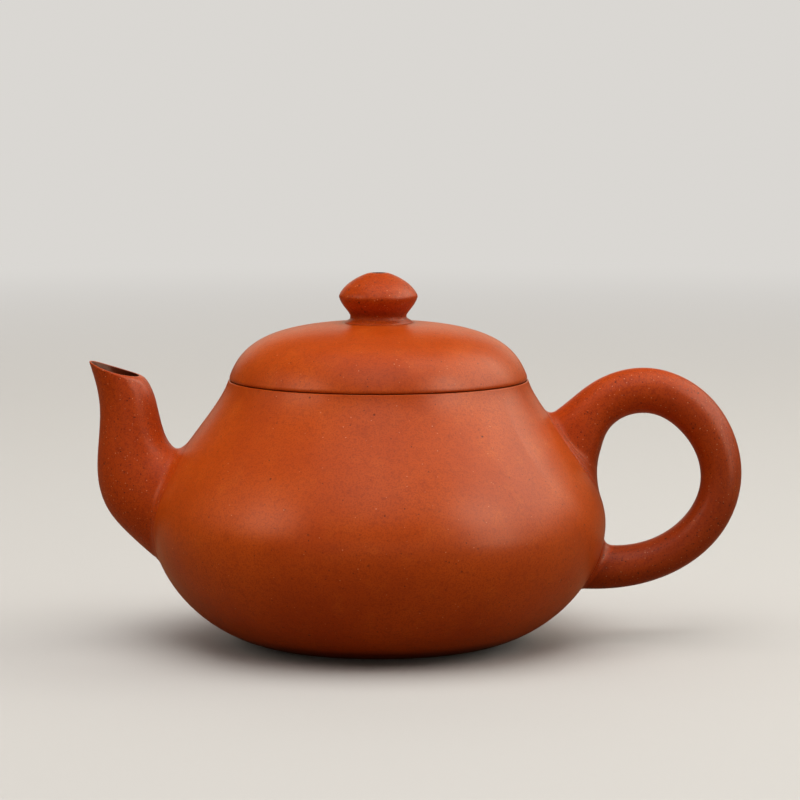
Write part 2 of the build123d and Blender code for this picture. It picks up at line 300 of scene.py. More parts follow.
FOOT_EDGE = np.array([FOOT_RADIUS, 0.0])
BELLY_EDGE = np.array([BELLY, BELLY_HEIGHT])
MOUTH_EDGE = np.array([MOUTH_RADIUS, MOUTH])
DOWN_THE_WALL = np.array([sin(MOUTH_LEAN), -cos(MOUTH_LEAN)])
LOWER_WALL = [FOOT_EDGE, FOOT_EDGE + FOOT_LEAD, BELLY_EDGE - (0, BELLY_LEAD_LOW), BELLY_EDGE]
UPPER_WALL = [
    BELLY_EDGE,
    BELLY_EDGE + (0, BELLY_LEAD_HIGH),
    MOUTH_EDGE + DOWN_THE_WALL * MOUTH_LEAD_LOW,
    MOUTH_EDGE,
]
LID_CURVE = [MOUTH_EDGE, MOUTH_EDGE - DOWN_THE_WALL * MOUTH_LEAD_HIGH, (LID_LEAD, LID_TOP), (0.0, LID_TOP)]


def wall_outline():
    low, up = inset(LOWER_WALL, WALL), inset(UPPER_WALL, WALL)
    socket_top = np.array([DISC_RADIUS, DISC_LOW + DISC_THICKNESS])
    socket_low = np.array([DISC_RADIUS, DISC_LOW])
    band = np.array([FOOT_RADIUS - FOOT_BAND, 0.0])
    hollow = ((DISC_RADIUS + band[0]) / 2, 0.5)
    lip = np.array([up[3][0], MOUTH])
    strokes = [
        bezier(LOWER_WALL, 56),
        bezier(UPPER_WALL, 60),
        line(MOUTH_EDGE, lip, 3),
        line(lip, up[3]),
        bezier(up[::-1], 40),
        bezier([low[3], low[2], low[1], socket_top], 40),
        line(socket_top, socket_low, 2),
        bezier([socket_low, hollow, band], 5),
        line(band, FOOT_EDGE, 2),
    ]
    return outline(strokes, [0, 0.15, 0, 0, 0, 0, 0.15, 0.25, 0.5])


def disc_outline():
    """The base disc's section from the axis, round its edge and back: it is pressed up a little."""
    rise = np.array([0, DISC_THICKNESS])
    low_mid, low_edge = np.array([0.0, DISC_TOP - DISC_THICKNESS]), np.array([DISC_RADIUS - 0.03, DISC_LOW])
    from_mid, from_edge = (DISC_RADIUS * 0.5, 0), (DISC_RADIUS * 0.25, 0)
    under = [low_mid, low_mid + from_mid, low_edge - from_edge, low_edge]
    over = [point + rise for point in under[::-1]]
    return np.vstack([bezier(under, 24), bezier(over, 24)])


def seat_outline():
    outer, top = MOUTH_RADIUS - 1.4, MOUTH - 0.02
    top_in, top_out = np.array([SEAT_BORE, top]), np.array([outer, top])
    low = np.array([SEAT_BORE, MOUTH - SEAT_STRAIGHT])
    corner = np.array([outer + 1.0, RING_LOW])
    strokes = [
        line(top_out, top_in, 3),
        line(top_in, low, 4),
        bezier([low, low - (0, 1.6), corner], 12),
        line(corner, top_out, 4),
    ]
    return outline(strokes, [0.35, 0, 0.1, 0])


def dome_outline():
    inner = inset(LID_CURVE, LID_THICKNESS)
    rim_inner = np.array([FLANGE_OUTER - 0.75 * FLANGE_THICKNESS, MOUTH])
    top = trimmed(bezier(LID_CURVE, 150), 0, VENT)
    under = bezier([inner[3], inner[2], inner[1], rim_inner], 60)
    under = under[under[:, 0] > VENT + 0.05]
    vent_top, vent_low = np.array([VENT, LID_TOP]), np.array([VENT, inner[3][1]])
    strokes = [
        top,
        line(top[-1], vent_top),
        line(vent_top, vent_low, 4),
        np.vstack([vent_low, under]),
        line(rim_inner, MOUTH_EDGE, 4),
    ]
    return outline(strokes, [0, 0.1, 0.4, 0.2, 0.9])


def flange_outline():
    inner = FLANGE_OUTER - FLANGE_THICKNESS
    low, high = FLANGE_LOW, MOUTH + FLANGE_SUNK
    strokes = [
        line((FLANGE_OUTER, low), (FLANGE_OUTER, high), 10),
        line((FLANGE_OUTER, high), (inner, high), 2),
        line((inner, high), (inner, low), 10),
        line((inner, low), (FLANGE_OUTER, low), 2),
    ]
    return outline(strokes, [0.2, 0.2, 0.6, 0.7])


def knob_outline():
    low = LID_TOP - KNOB_SUNK
    crown, ridge = np.array([KNOB_CROWN, KNOB_TOP]), np.array([KNOB_RADIUS, KNOB_RIDGE])
    waist, foot = np.array(KNOB_WAIST), np.array([KNOB_FOOT, low])
    vent_low, vent_top = np.array([VENT, low]), np.array([VENT, KNOB_TOP])
    strokes = [
        line(vent_top, crown, 2),
        bezier([crown, crown + CROWN_LEAD, ridge + RIDGE_LEAD_HIGH, ridge], 40),
        bezier([ridge, ridge + RIDGE_LEAD_LOW, waist + (0, 0.8), waist], 30),
        bezier([waist, waist - (0, 0.6), foot + (0, 0.6), foot], 10),
        line(foot, vent_low, 2),
        line(vent_low, vent_top, 12),
    ]
    return outline(strokes, [0.4, 0.3, 0, 0, 0, 0.15])


def collar():
    """The irregular collar of clay round the knob's foot."""
    turn = np.linspace(0, 2 * pi, AROUND, endpoint=False)
    reach = COLLAR_REACH + 0.22 * np.sin(2 * turn + 0.4) + 0.16 * np.sin(5 * turn + 1.3)
    top = COLLAR_TOP + 0.15 * np.sin(3 * turn + 2.1)
    level = LID_TOP - 0.04 + 0 * turn

    def at(radius, height):
        return np.stack([radius + 0 * turn, height + 0 * turn], axis=-1)

    controls = [at(reach, level - 0.1), at(reach - 0.35, level + 0.35), at(5.75, top - 0.5), at(5.5, top)]
    inside = [at(5.0, 64.0), at(5.2, level - 0.8)]
    profile = np.concatenate([bezier(controls, 14), np.array(inside)])
    return spun(profile, AROUND), ring_faces(len(profile), AROUND, True)


# ---- The pot's outside, for the pieces that are joined to it -----------------------------
WALL_LINE = np.vstack([bezier(LOWER_WALL, WALL_STEPS)[:-1], bezier(UPPER_WALL, WALL_STEPS)])
WALL_RUN = np.gradient(WALL_LINE, axis=0)
WALL_NORMAL = unit(np.stack([WALL_RUN[:, 1], -WALL_RUN[:, 0]], axis=-1))


def on_wall(points):
    """The nearest points of the pot's outside and the outward normals there."""
    flat = points.reshape(-1, 3)
    radius = np.hypot(flat[:, 0], flat[:, 1])
    place = np.stack([radius, flat[:, 2]], axis=-1)
    gaps = ((place[:, None, :] - WALL_LINE[None]) ** 2).sum(-1)
    nearest = np.argmin(gaps, axis=1)
    around = flat[:, :2] / radius[:, None]
    normal = np.concatenate([around * WALL_NORMAL[nearest, :1], WALL_NORMAL[nearest, 1:]], axis=1)
    height = ((place - WALL_LINE[nearest]) * WALL_NORMAL[nearest]).sum(-1)
    return (flat - normal * height[:, None]).reshape(points.shape), normal.reshape(points.shape)


def above_wall(sunk=0.0):
    """A height function for Tube.crossing: roughly the height over the wall's outside.

    With sunk, it is the height over a surface that lies that far inside the wall.
    """

    def height(points):
        radius = np.interp(points[..., 2], WALL_LINE[:, 1], WALL_LINE[:, 0])
        lean = np.interp(points[..., 2], WALL_LINE[:, 1], WALL_NORMAL[:, 0])
        return (np.hypot(points[..., 0], points[..., 1]) - radius) * lean + sunk

    return height


# ---- Swept pieces ------------------------------------------------------------------------
class Tube:
    """A spout or handle: elliptical sections in the XZ plane, carried along smooth curves."""

    def __init__(self, stations, thinning=None):
        front = np.array([s[0] for s in stations], float)
        back = np.array([s[1] for s in stations], float)
        half = np.array([s[2] for s in stations], float)
        if thinning:
            less = np.array([thinning(i / (len(stations) - 1)) for i in range(len(stations))])
            inward = unit(back - front)
            front, back = front + inward * less[:, :1], back - inward * less[:, 1:2]
            half = half - less[:, 2]
        self.values = np.column_stack([front, back, half])
        self.knots = lengths_along((front + back) / 2)
        self.length = self.knots[-1]
        self.turn = np.linspace(0, 2 * pi, TUBE_AROUND, endpoint=False)
        self.backness = (1 + np.cos(self.turn)) / 2  # 1 at the stations' second points
        self.sideness = np.sin(self.turn) ** 2

    def at(self, place):
        """Points on the tube. place has one value along the tube for each row and column."""
        got = spline(self.knots, self.values, place)
        front, back, half = got[..., 0:2], got[..., 2:4], got[..., 4]
        centre, arm = (front + back) / 2, (back - front) / 2
        turn = np.broadcast_to(self.turn, np.shape(place))
        flat = centre + arm * np.cos(turn)[..., None]
        return np.stack([flat[..., 0], half * np.sin(turn), flat[..., 1]], axis=-1)

    def strokes(self, place):
        """Burnishing strokes that run along the tube, for the same points."""
        got = spline(self.knots, self.values, place)
        arm = np.linalg.norm(got[..., 2:4] - got[..., 0:2], axis=-1) / 2
        turn = np.broadcast_to(self.turn, np.shape(place))
        return np.stack([place / STROKE, arm * np.cos(turn), got[..., 4] * np.sin(turn)], axis=-1)

    def along(self, place):
        """The unit direction along the tube at those points."""
        return unit(self.at(place + 0.05) - self.at(place - 0.05))

    def outward(self, place):
        """The unit normals that point out of the tube, for one row of places."""
        points = self.at(place)
        across = np.roll(points, -1, axis=0) - np.roll(points, 1, axis=0)
        normal = unit(np.cross(across, self.along(place)))
        away = ((points - points.mean(axis=0)) * normal).sum()
        return normal * np.sign(away)

    def crossing(self, height, low, high):
        """Where each column's line first passes through zero of height(points) between two places."""
        places = np.linspace(low, high, CROSSING_STEPS)
        rows = np.repeat(places[:, None], len(self.turn), axis=1)
        signed = height(self.at(rows))
        start = np.sign(signed[0])
        first = np.argmax(signed * start[None] < 0, axis=0)
        columns = np.arange(len(self.turn))
        before, after = signed[first - 1, columns], signed[first, columns]
        return places[first - 1] + (places[1] - places[0]) * before / (before - after)


def rows_between(start, end, count):
    """Rows of places along a tube from start to end, each with one place for every column."""
    share = np.linspace(0, 1, count)[:, None]
    return start[None] + (end - start)[None] * share


def luting(tube, root, away, on_tube, over_wall, ridges, pull=0.62):
    """A closed ring of clay that fills the corner between the wall and a tube.

    root is where each column meets the wall, away is +1 if the tube leaves the wall towards
    higher places. on_tube and over_wall are how far the clay spreads in each column. ridges
    are (share of the way up, width, height by column) of the soft ridges left by a thumb. The
    lower the pull, the fuller the corner.
    """
    corner = tube.at(root)
    upper_place = root + away * on_tube
    upper = tube.at(upper_place)
    upper_run = tube.along(upper_place) * away
    upper_out = tube.outward(upper_place)
    normal = on_wall(corner)[1]
    round_corner = np.roll(corner, -1, axis=0) - np.roll(corner, 1, axis=0)
    spread = unit(np.cross(round_corner, normal))
    spread *= np.sign((spread * (corner - corner.mean(axis=0))).sum(-1).mean())
    lower, lower_out = on_wall(corner + spread * over_wall[:, None])
    lower_run = corner - lower
    lower_run = unit(lower_run - lower_out * (lower_run * lower_out).sum(-1, keepdims=True))
    lower_lead = lower + lower_run * (pull * over_wall)[:, None]
    upper_lead = upper - upper_run * (pull * on_tube)[:, None]
    strip = bezier([lower, lower_lead, upper_lead, upper], LUTING_ROWS)
    share = np.linspace(0, 1, LUTING_ROWS + 1)[:, None]
    out = unit(lower_out[None] * (1 - share[..., None]) + upper_out[None] * share[..., None])
    for place, width, height in ridges:
        bump = np.exp(-(((share - place) / width) ** 2)) * height[None]
        strip = strip + out * (bump * np.sin(pi * share) ** 0.5)[..., None]
    sunk_low = lower - lower_run * LUTING_TUCK - lower_out * LUTING_SINK
    sunk_high = upper + upper_run * LUTING_TUCK - upper_out * LUTING_SINK
    inside = [
        sunk_high - upper_out * LUTING_DEPTH,
        corner - normal * LUTING_CORNER - upper_out * LUTING_DEPTH,
        sunk_low - lower_out * LUTING_DEPTH,
    ]
    points = np.concatenate([sunk_low[None], strip, sunk_high[None], np.array(inside)])
    return points, ring_faces(len(points), points.shape[1], True)


# ---- Spout -------------------------------------------------------------------------------
def spout_thinning(share):
    """The spout's wall thickness along its length, at its front, its back and its sides."""
    return SPOUT_ROOT_WALL + (np.array(SPOUT_LIP) - SPOUT_ROOT_WALL) * share


def over_mouth(points):
    """Signed height over the spout's cut mouth, which dips a little at its sides."""
    run = unit(SPOUT_HEEL - SPOUT_TIP)
    up = np.array([-run[2], 0, run[0]])
    side = points[..., 1] / SPOUT_STATIONS[-1][2]
    return (points - SPOUT_TIP) @ up + SPOUT_SAG * side**2


def spout_tube(outer, inner):
    """The spout's points, faces, burnishing strokes, and the tea stain and painted shade in its bore."""
    outer_root = outer.crossing(above_wall(SPOUT_SUNK), 0, outer.length)
    inner_root = inner.crossing(above_wall(SPOUT_SUNK), 0, inner.length)
    outer_end = outer.crossing(over_mouth, outer.knots[3], outer.length)
    inner_end = inner.crossing(over_mouth, inner.knots[3], inner.length)
    # The mouth's two edges are rounded over these lengths. The heel's outer edge is the softest.
    soft_out = 0.32 + 1.5 * outer.backness**3
    soft_in = 0.3 + 0.1 * outer.backness
    rim, bore = outer.at(outer_end), inner.at(inner_end)
    thick = np.linalg.norm(bore - rim, axis=-1)
    share_out = np.minimum(soft_out, 0.62 * thick) / thick
    share_in = np.minimum(soft_in, 0.3 * thick) / thick
    land_out = rim + (bore - rim) * share_out[:, None]
    land_in = bore + (rim - bore) * share_in[:, None]
    lip_out = bezier([outer.at(outer_end - soft_out), rim, land_out], 8)
    lip_in = bezier([land_in, bore, inner.at(inner_end - soft_in)], 6)
    rows_out = rows_between(outer_root, outer_end - soft_out, SPOUT_ROWS[0])
    rows_in = rows_between(inner_end - soft_in, inner_root, SPOUT_ROWS[1])
    points = np.concatenate([outer.at(rows_out)[:-1], lip_out, lip_in, inner.at(rows_in)[1:]])
    lip_rows = np.repeat(outer_end[None], len(lip_out) + len(lip_in), axis=0)
    strokes = outer.strokes(np.concatenate([rows_out[:-1], lip_rows, rows_in[1:]]))
    # Tea stain and painted shade run from the last rows of the mouth's inner edge down the bore.
    stain_and_shade = np.zeros(points.shape[:2])
    stain_and_shade[-len(rows_in) - 2 :] = 1
    return points, ring_faces(len(points), points.shape[1], True), strokes, stain_and_shade


# ---- Handle ------------------------------------------------------------------------------
def handle_tube(loop):
    """The handle's points, faces, burnishing strokes and the painted shade over its outer bend and lower
    part.
    """
    start = loop.crossing(above_wall(HANDLE_SUNK), 0, loop.length / 2)
    end = loop.crossing(above_wall(HANDLE_SUNK), loop.length, loop.length / 2)
    places = rows_between(start, end, HANDLE_ROWS)
    points, strokes = loop.at(places), loop.strokes(places).reshape(-1, 3)
    # Painted shade over the handle's outer bend and lower part, coming in from three tenths of its length.
    lower_shade = np.clip((places / loop.length - SHADE_FROM) / SHADE_BLEND, 0, 1).reshape(-1)
    caps = [points[0].mean(axis=0), points[-1].mean(axis=0)]
    faces = capped_faces(*points.shape[:2])
    points = np.vstack([points.reshape(-1, 3), caps])
    strokes = np.vstack([strokes, strokes[0], strokes[-1]])
    return points, faces, strokes, HANDLE_SHADE * np.concatenate([lower_shade, [0, 1]])


# ---- Clay --------------------------------------------------------------------------------
# Each clay wanders between a deep, a middle and a pale colour.
POT_COLOURS = ((0.445, 0.053, 0.0018, 1), (0.525, 0.072, 0.0026, 1), (0.585, 0.098, 0.0046, 1))
ATTACHED_COLOURS = ((0.405, 0.041, 0.0012, 1), (0.485, 0.056, 0.0018, 1), (0.54, 0.077, 0.0038, 1))
CLAY_SMUDGE = (0.27, 0.026, 0.0020, 1)
# Dark grains of the clay; the same colour is the painted shade in the pits.
DARK_GRAIN_AND_PIT_SHADE = (0.05, 0.010, 0.004, 1)
GRAIN_LIGHT = (0.80, 0.38, 0.18, 1)
# Painted shade, with some dirt, where faces lie near each other.
CREVICE_SHADE_AND_DIRT = (0.10, 0.012, 0.002, 1)
# Tea stain and painted shade in the bores, and painted shade on the handle's outer bend and lower part.
STAIN_AND_SHADE = (0.055, 0.012, 0.004, 1)

ASIDE = (17.0, 31.0, 7.0)  # where the second set of noises is read, so that the two don't match
SHADE_AND_DIRT_REACH = 4.0  # how near two faces have to be for painted shade and dirt to be put between them

# Noises: size of their features in mm, detail, roughness.
BROAD = (22, 2.0, 0.5)
CLOUD = (4.5, 4.0, 0.62)
STREAK = (0.7, 4.0, 0.65)
FINE = (0.30, 2.0, 0.6)
GRIT = (0.9, 3.0, 0.6)

# Specks: size in mm, and the share of cells that has one in the coarsest clay.
DARK_SPECK = (0.20, 0.34)
LIGHT_SPECK = (0.15, 0.16)
PIT = (0.32, 0.08)
SPECK_SPACING = 3.2  # width of a cell, in specks

# The skin of unpolished clay, and how a full polish changes it.
ROUGHNESS, SMOOTHED = 0.30, 0.06
SPECULAR, SHINE = 0.18, 0.08
BUMP_STRENGTH = 0.8


class Shader:
    """A short way to write a node tree."""

    def __init__(self, name):
        self.material = bpy.data.materials.new(name)
        self.material.use_nodes = True
        self.tree = self.material.node_tree
        self.surface = self.tree.nodes["Principled BSDF"]

    def set(self, node, key, value):
        """Gives one of a node's inputs a value, or links another node's output to it."""
        if isinstance(value, bpy.types.NodeSocket):
            self.tree.links.new(value, node.inputs[key])
        else:
            node.inputs[key].default_value = value

    def node(self, kind, inputs=None, **settings):
        made = self.tree.nodes.new("ShaderNode" + kind)
        for key, value in settings.items():
            setattr(made, key, value)
        for key, value in (inputs or {}).items():
            self.set(made, key, value)
        return made

    def math(self, operation, first, second=0.0, third=0.0):
        return self.node("Math", {0: first, 1: second, 2: third}, operation=operation).outputs[0]

    def noise(self, where, size, detail, rough):
        """Noise whose features are about size millimetres across."""
        inputs = {"Vector": where, "Scale": 1.0 / size, "Detail": detail, "Roughness": rough}
        return self.node("TexNoise", inputs).outputs["Fac"]

    def ramp(self, value, low, high):
        """value carried from low..high onto 0..1, clamped."""
        inputs = {"Value": value, "From Min": low, "From Max": high}
        return self.node("MapRange", inputs, interpolation_type="SMOOTHSTEP").outputs["Result"]

    def mix(self, share, first, second):
        """The colour that is share of the way from the first to the second."""
        return self.node("Mix", {0: share, 6: first, 7: second}, data_type="RGBA").outputs[2]

    def specks(self, where, size, share):
        """Grains of about size millimetres, of uneven strength, in a share of the cells."""
        cells = self.node("TexVoronoi", {"Vector": where, "Scale": 1.0 / (size * SPECK_SPACING)})
        inside = self.ramp(cells.outputs["Distance"], 0.30, 0.14)
        split = self.node("SeparateColor", {"Color": cells.outputs["Color"]})
        chosen = self.math("LESS_THAN", split.outputs["Red"], share)
        strength = self.math("MULTIPLY_ADD", split.outputs["Green"], 0.75, 0.25)
        return self.math("MULTIPLY", self.math("MULTIPLY", inside, chosen), strength)


def clay_patterns(shader, sand):
    """The patterns that the clay's colour, roughness and relief are made from, by name."""
    place = shader.node("TexCoord").outputs["Object"]
    where = shader.node("VectorMath", {0: place, 3: 1 / MM}, operation="SCALE").outputs[0]
    aside = shader.node("VectorMath", {0: where, 1: ASIDE}, operation="ADD").outputs[0]
    strokes = shader.node("Attribute", attribute_name="strokes").outputs["Vector"]
    reach = {"Distance": SHADE_AND_DIRT_REACH * MM}
    patterns = {
        "broad": shader.noise(where, *BROAD),
        "cloud": shader.noise(aside, *CLOUD),
        "streak": shader.noise(strokes, *STREAK),
        "fine": shader.noise(where, *FINE),
        "grit": shader.noise(aside, *GRIT),
        # gap: ambient occlusion, for the painted shade and dirt where faces lie near each other.
        "gap": shader.node("AmbientOcclusion", reach, samples=4).outputs["AO"],
        # stain: tea stain and painted shade in the bores, painted shade on the handle's outer bend and
        # lower part.
        "stain_and_shade": shader.node("Attribute", attribute_name="stain_and_shade").outputs["Fac"],
    }
    specks = (("dark", where, DARK_SPECK), ("light", aside, LIGHT_SPECK), ("pits", aside, PIT))
    for name, at, (size, share) in specks:
        patterns[name] = shader.specks(at, size, share * sand)
    return patterns


def clay_colour(shader, patterns, sand, deep, middle, pale):
    """The clay's colour: broad patches, and over them smudges, streaks and grains, then painted shade: in
    pits, in crevices with dirt, in the bores with tea stain, and on the handle's outer bend and lower part.
    """
    colour = shader.mix(shader.ramp(patterns["broad"], 0.3, 0.7), deep, middle)
    # Each veil is a colour, its pattern, the pattern's values that give none and all of it (None
    # where the pattern runs from 0 to 1 by itself), and how strong it gets.
    veils = (
        (pale, "cloud", 0.50, 0.78, 0.5),
        (CLAY_SMUDGE, "cloud", 0.44, 0.24, 0.35),
        (CLAY_SMUDGE, "streak", 0.52, 0.80, 0.22 + 0.18 * sand),
        (pale, "streak", 0.46, 0.20, 0.30),
        (CLAY_SMUDGE, "grit", 0.50, 0.70, 0.32 + 0.20 * sand),
        (CLAY_SMUDGE, "fine", 0.48, 0.62, 0.40 + 0.22 * sand),
        (DARK_GRAIN_AND_PIT_SHADE, "dark", None, None, 0.9),
        # Pits, painted dark as well as sunk: painted shade in them.
        (DARK_GRAIN_AND_PIT_SHADE, "pits", None, None, 0.85),
        (GRAIN_LIGHT, "light", None, None, 0.65),
        # Painted shade and dirt where faces lie near each other.
        (CREVICE_SHADE_AND_DIRT, "gap", 0.78, 0.25, 0.80),
        # Tea stain and painted shade in the spout's and the knob's bores, and painted shade on the handle's
        # outer bend and lower part.
        (STAIN_AND_SHADE, "stain_and_shade", None, None, 0.85),
    )
    for other, pattern, none, full, most in veils:
        share = patterns[pattern]
        if none is not None:
            share = shader.ramp(share, none, full)
        colour = shader.mix(shader.math("MULTIPLY", share, most), colour, other)
    return colour


def clay_relief(shader, patterns, sand):
    """The fine unevenness of the clay's skin, as a bumped normal."""
    heights = {
        "cloud": 0.03,
        "streak": 0.006 + 0.012 * sand,
        "fine": 0.014 + 0.024 * sand,
        "light": 0.012,
        "dark": -0.015,
        "pits": -0.04,
    }
    skin = 0.0
    for pattern, height in heights.items():
        skin = shader.math("MULTIPLY_ADD", patterns[pattern], height, skin)
    settings = {"Height": skin, "Distance": MM, "Strength": BUMP_STRENGTH}
    return shader.node("Bump", settings).outputs["Normal"]


def clay(name, sand, polish, colours):
    """Unglazed red clay. sand is how coarse it is left, polish how well it is burnished."""
    shader = Shader(name)
    patterns = clay_patterns(shader, sand)
    rough = shader.math("MULTIPLY_ADD", patterns["cloud"], 0.14, ROUGHNESS - SMOOTHED * polish)
    rough = shader.math("MULTIPLY_ADD", patterns["fine"], 0.06, rough)
    shader.set(shader.surface, "Base Color", clay_colour(shader, patterns, sand, *colours))
    shader.set(shader.surface, "Roughness", rough)
    shader.set(shader.surface, "Specular IOR Level", SPECULAR + SHINE * polish)
    shader.set(shader.surface, "Normal", clay_relief(shader, patterns, sand))
    return shader.material


CLAYS = {
    "pot_clay": clay("pot_clay", 0.12, 1.0, POT_COLOURS),
    "lid_clay": clay("lid_clay", 0.15, 1.0, POT_COLOURS),
    "attached_clay": clay("attached_clay", 1.0, 0.5, ATTACHED_COLOURS),
}


# ---- Pieces ------------------------------------------------------------------------------
def handmade(points):
    """The slight unevenness of a pot shaped by hand: a gentle squeeze that only goes inwards."""
    x, y, z = points[..., 0], points[..., 1], points[..., 2]
    turn = np.arctan2(y, x)
    wave = np.sin(2 * turn + 0.9 + 0.03 * z) + 0.7 * np.sin(3 * turn - 1.1 - 0.05 * z)
    wave += 0.4 * np.sin(5 * turn + 2.0 + 0.11 * z)
    squeeze = UNEVENNESS * (1 + wave / 2.1)
    scale = 1 - squeeze * np.clip(np.hypot(x, y) / BELLY, 0, 1)
    return np.stack([x * scale, y * scale, z], axis=-1)


def store(mesh, name, kind, field, values):
    """Keeps a value for each vertex, for the clay to read."""
    attribute = mesh.attributes.new(name, kind, "POINT")
    attribute.data.foreach_set(field, values.reshape(-1).astype(np.float32))


def smooth(mesh):
    """Turns every face outwards and shades it smooth, up to the crisp edges."""
    work = bmesh.new()
    work.from_mesh(mesh)
    bmesh.ops.recalc_face_normals(work, faces=work.faces)
    for edge in work.edges:
        edge.smooth = len(edge.link_faces) == 2 and edge.calc_face_angle() < CRISP
    for face in work.faces:
        face.smooth = True
    work.to_mesh(mesh)
    work.free()


def build(name, node, body, clay_name, points, faces, strokes=None, stain_and_shade=None):
    """A closed piece that stands for a CAD node.

    strokes are coordinates in millimetres, squeezed along the way the clay was burnished. Left
    out, they run round the pot's axis. The last argument is how far the clay is darkened: tea
    stain and painted shade in the bores, painted shade on the handle's outer bend and lower part.
    """
    flat = np.asarray(points, float).reshape(-1, 3)
    if strokes is None:
        strokes = flat * (1 / STROKE, 1 / STROKE, 1)
    if stain_and_shade is None:
        stain_and_shade = np.zeros(len(flat))
    mesh = bpy.data.meshes.new(name)
    mesh.from_pydata((handmade(flat) * MM).tolist(), [], faces)
    store(mesh, "strokes", "FLOAT_VECTOR", "vector", strokes)
    store(mesh, "stain_and_shade", "FLOAT", "value", stain_and_shade)
    smooth(mesh)
    mesh.materials.append(CLAYS[clay_name])
    piece = bpy.data.objects.new(name, mesh)
    bpy.context.scene.collection.objects.link(piece)
    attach(piece, body)
    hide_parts(node)
    return piece


def cut_port(piece):
    """Cuts the round hole through the wall that the tea leaves by."""
    bpy.ops.mesh.primitive_cylinder_add(
        vertices=96,
        radius=PORT_RADIUS * MM,
        depth=20 * MM,
        location=(-BELLY * MM, 0, PORT_HEIGHT * MM),
        rotation=(0, pi / 2, 0),
    )
    cutter = bpy.context.object
    hole = piece.modifiers.new("port", "BOOLEAN")
    hole.object, hole.operation, hole.solver = cutter, "DIFFERENCE", "EXACT"
    depsgraph = bpy.context.evaluated_depsgraph_get()
    piece.data = bpy.data.meshes.new_from_object(piece.evaluated_get(depsgraph))
    piece.modifiers.clear()
    bpy.data.objects.remove(cutter)
    work = bmesh.new()
    work.from_mesh(piece.data)
    bmesh.ops.remove_doubles(work, verts=work.verts, dist=WELD * MM)
    work.to_mesh(piece.data)
    work.free()


def make_body():
    wall = build("wall", "body_wall", "pot", "pot_clay", *turned(wall_outline()))
    cut_port(wall)
    build("base", "base_disc", "pot", "pot_clay", *turned_disc(disc_outline()))
    build("seat_ring", "mouth_ring", "pot", "pot_clay", *turned(seat_outline()))


def make_spout():
    outer, inner = Tube(SPOUT_STATIONS), Tube(SPOUT_STATIONS, spout_thinning)
    build("spout_tube", "spout", "pot", "attached_clay", *spout_tube(outer, inner))
    root = outer.crossing(above_wall(), 0, outer.length)
    on_tube, over_wall = 1.0 + 2.6 * outer.backness**2, 1.1 + 2.4 * outer.backness**2
    ridges = [(0.30, 0.12, 0.10 * outer.sideness)]
    bead = luting(outer, root, 1, on_tube, over_wall, ridges, 0.52)
    build("spout_root", "spout_luting", "pot", "attached_clay", *bead)


def make_handle():
    loop = Tube(HANDLE_STATIONS)
    build("handle_loop", "handle", "pot", "attached_clay", *handle_tube(loop))
    inside, outside = loop.backness, 1 - loop.backness

    root = loop.crossing(above_wall(), 0, loop.length / 2)
    on_tube = 1.1 + 3.4 * inside**3 + 0.7 * outside**2
    over_wall = 1.2 + 3.4 * inside**3 + 0.6 * outside**2
    shoulder = 1 - np.maximum(inside, outside) ** 8
    ridges = [(0.24, 0.06, 0.22 * shoulder), (0.60, 0.05, 0.09 * shoulder)]
    bead = luting(loop, root, 1, on_tube, over_wall, ridges)
    build("handle_upper_root", "handle_upper_luting", "pot", "attached_clay", *bead)

    root = loop.crossing(above_wall(), loop.length, loop.length / 2)
    on_tube, over_wall = 1.0 + 1.7 * inside**2, 0.8 + 1.4 * inside**2
    ridges = [(0.30, 0.10, 0.08 * loop.sideness)]
    bead = luting(loop, root, -1, on_tube, over_wall, ridges)
    build("handle_lower_root", "handle_lower_luting", "pot", "attached_clay", *bead)


def make_lid():
    build("dome", "lid_dome", "lid", "lid_clay", *turned(dome_outline()))
    build("flange", "lid_flange", "lid", "lid_clay", *turned(flange_outline()))
    points, faces = turned(knob_outline())
    # Tea stain and painted shade down the vent's bore.
    bore = (np.hypot(points[..., 0], points[..., 1]) < VENT + 0.1).astype(float)
    build("knob_top", "knob", "lid", "attached_clay", points, faces, stain_and_shade=bore)
    build("knob_root", "knob_luting", "lid", "attached_clay", *collar())


def carry_over():
    """Gives the CAD's strainer, which is kept as it is, its clay."""
    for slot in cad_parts["ball_strainer"].material_slots:
        slot.material = CLAYS["pot_clay"]


# ---- Stage, light and camera, in metres --------------------------------------------------
FLOOR_PAINT = (0.52, 0.50, 0.47, 1)
BACKDROP_GLOW = (0.70, 0.68, 0.65, 1)
FLOOR_SEEN_BY_POT = (0.22, 0.14, 0.08, 1)
GLOW_FROM, GLOW_FULL = 0.35, 1.10  # distances at which the glow begins and is complete
FLOOR_FLAT = 1.1
WALL_DISTANCE = 1.6
WALL_TOP = 1.2

LIGHT_DISTANCE = 0.96
LIGHT_AIM = Vector((0, 0, 0.035))
LIGHT_WHITE = (1, 1, 1)
SHEEN_WARMTH = (1.0, 0.97, 0.76)
ROOM_COLOUR = (1.0, 0.96, 0.92, 1)
ROOM_FILL = 0.24
ROOM_SHEEN = 0.03

